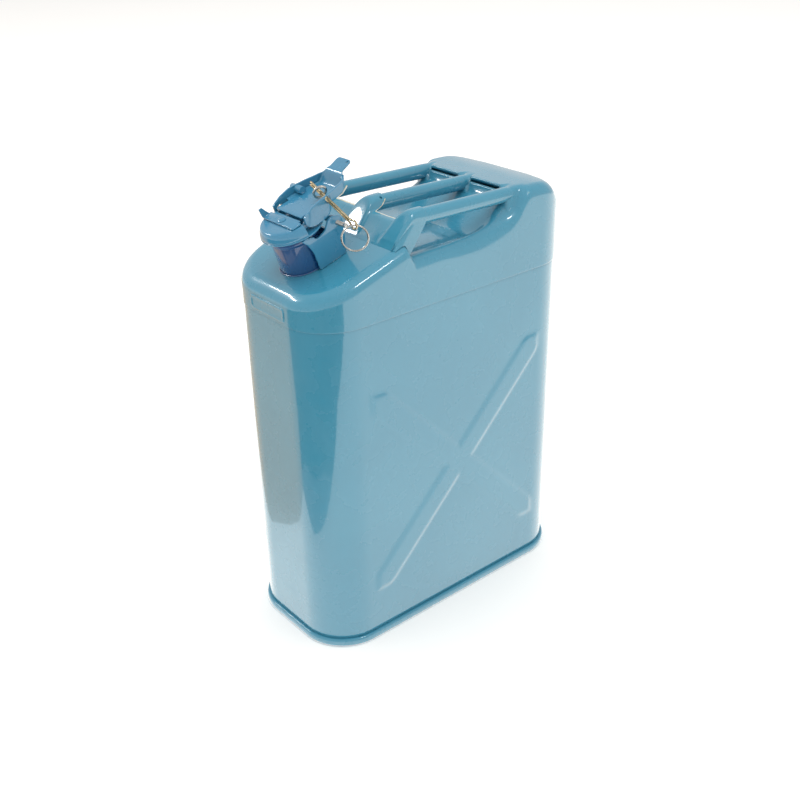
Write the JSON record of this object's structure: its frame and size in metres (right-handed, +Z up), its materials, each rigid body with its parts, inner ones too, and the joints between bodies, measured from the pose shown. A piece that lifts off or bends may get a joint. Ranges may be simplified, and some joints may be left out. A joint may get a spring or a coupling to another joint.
{
  "type": "fuel can",
  "caption": "Upright pressed-steel fuel can with a three-bar handle, a tilted spout and a lever-locked hinged cap with a removable safety pin.",
  "frame": {"origin": "on the ground, under the middle of the base ring", "axes": "+Z up; the spout and narrow front face -Y, the broad sides face -X and +X"},
  "size_m": [0.1704, 0.356, 0.5143],
  "materials": {
    "body_enamel": "glossy light-blue enamel",
    "spout_enamel": "glossy deep-blue enamel",
    "zinc_steel": "zinc-plated steel",
    "pin_metal": "yellow-passivated zinc plate",
    "gasket_rubber": "matt black fuel-resistant rubber"
  },
  "bodies": {
    "root": {"tank_body": "body_enamel", "base_chime": "body_enamel", "base_pan": "body_enamel", "top_cover": "body_enamel", "handle_bar_left": "body_enamel", "handle_bar_middle": "body_enamel", "handle_bar_right": "body_enamel", "handle_bracket": "body_enamel", "neck_tube": "spout_enamel", "neck_collar": "spout_enamel", "hook_plate_left": "body_enamel", "hook_plate_right": "body_enamel", "hinge_web": "body_enamel", "hinge_pin": "zinc_steel", "breather_tube": "zinc_steel"},
    "cap": {"cap_lid": "body_enamel", "cap_gasket": "gasket_rubber", "gasket_retainer": "zinc_steel", "cap_bridge": "body_enamel", "lid_rivet": "zinc_steel", "lever_rivet_left": "zinc_steel", "lever_rivet_right": "zinc_steel"},
    "lever": {"cam_lever": "body_enamel", "lock_eye": "zinc_steel"},
    "pin": {"lock_pin": "pin_metal"},
    "ring": {"lock_ring": "zinc_steel"}
  },
  "joints": [
    {"name": "cap_hinge", "type": "hinge", "parent": "root", "child": "cap", "pos_m": [0, -0.10752, 0.46427], "axis": [1, 0, 0], "range_deg": [-100, 0]},
    {"name": "lever_hinge", "type": "hinge", "parent": "cap", "child": "lever", "pos_m": [0, -0.13476, 0.47141], "axis": [1, 0, 0], "range_deg": [0, 90]},
    {"name": "pin_slide", "type": "slide", "parent": "lever", "child": "pin", "axis": [0.9336, 0, -0.3584], "range_m": [0, 0.075]},
    {"name": "ring_swing", "type": "hinge", "parent": "pin", "child": "ring", "pos_m": [0.0657, -0.11452, 0.47182], "axis": [0.6293, 0.7771, 0], "range_deg": [-40, 40]}
  ],
  "couplings": [
    {"joint": "lever_hinge", "follows": "cap_hinge", "ratio": -0.9}
  ]
}
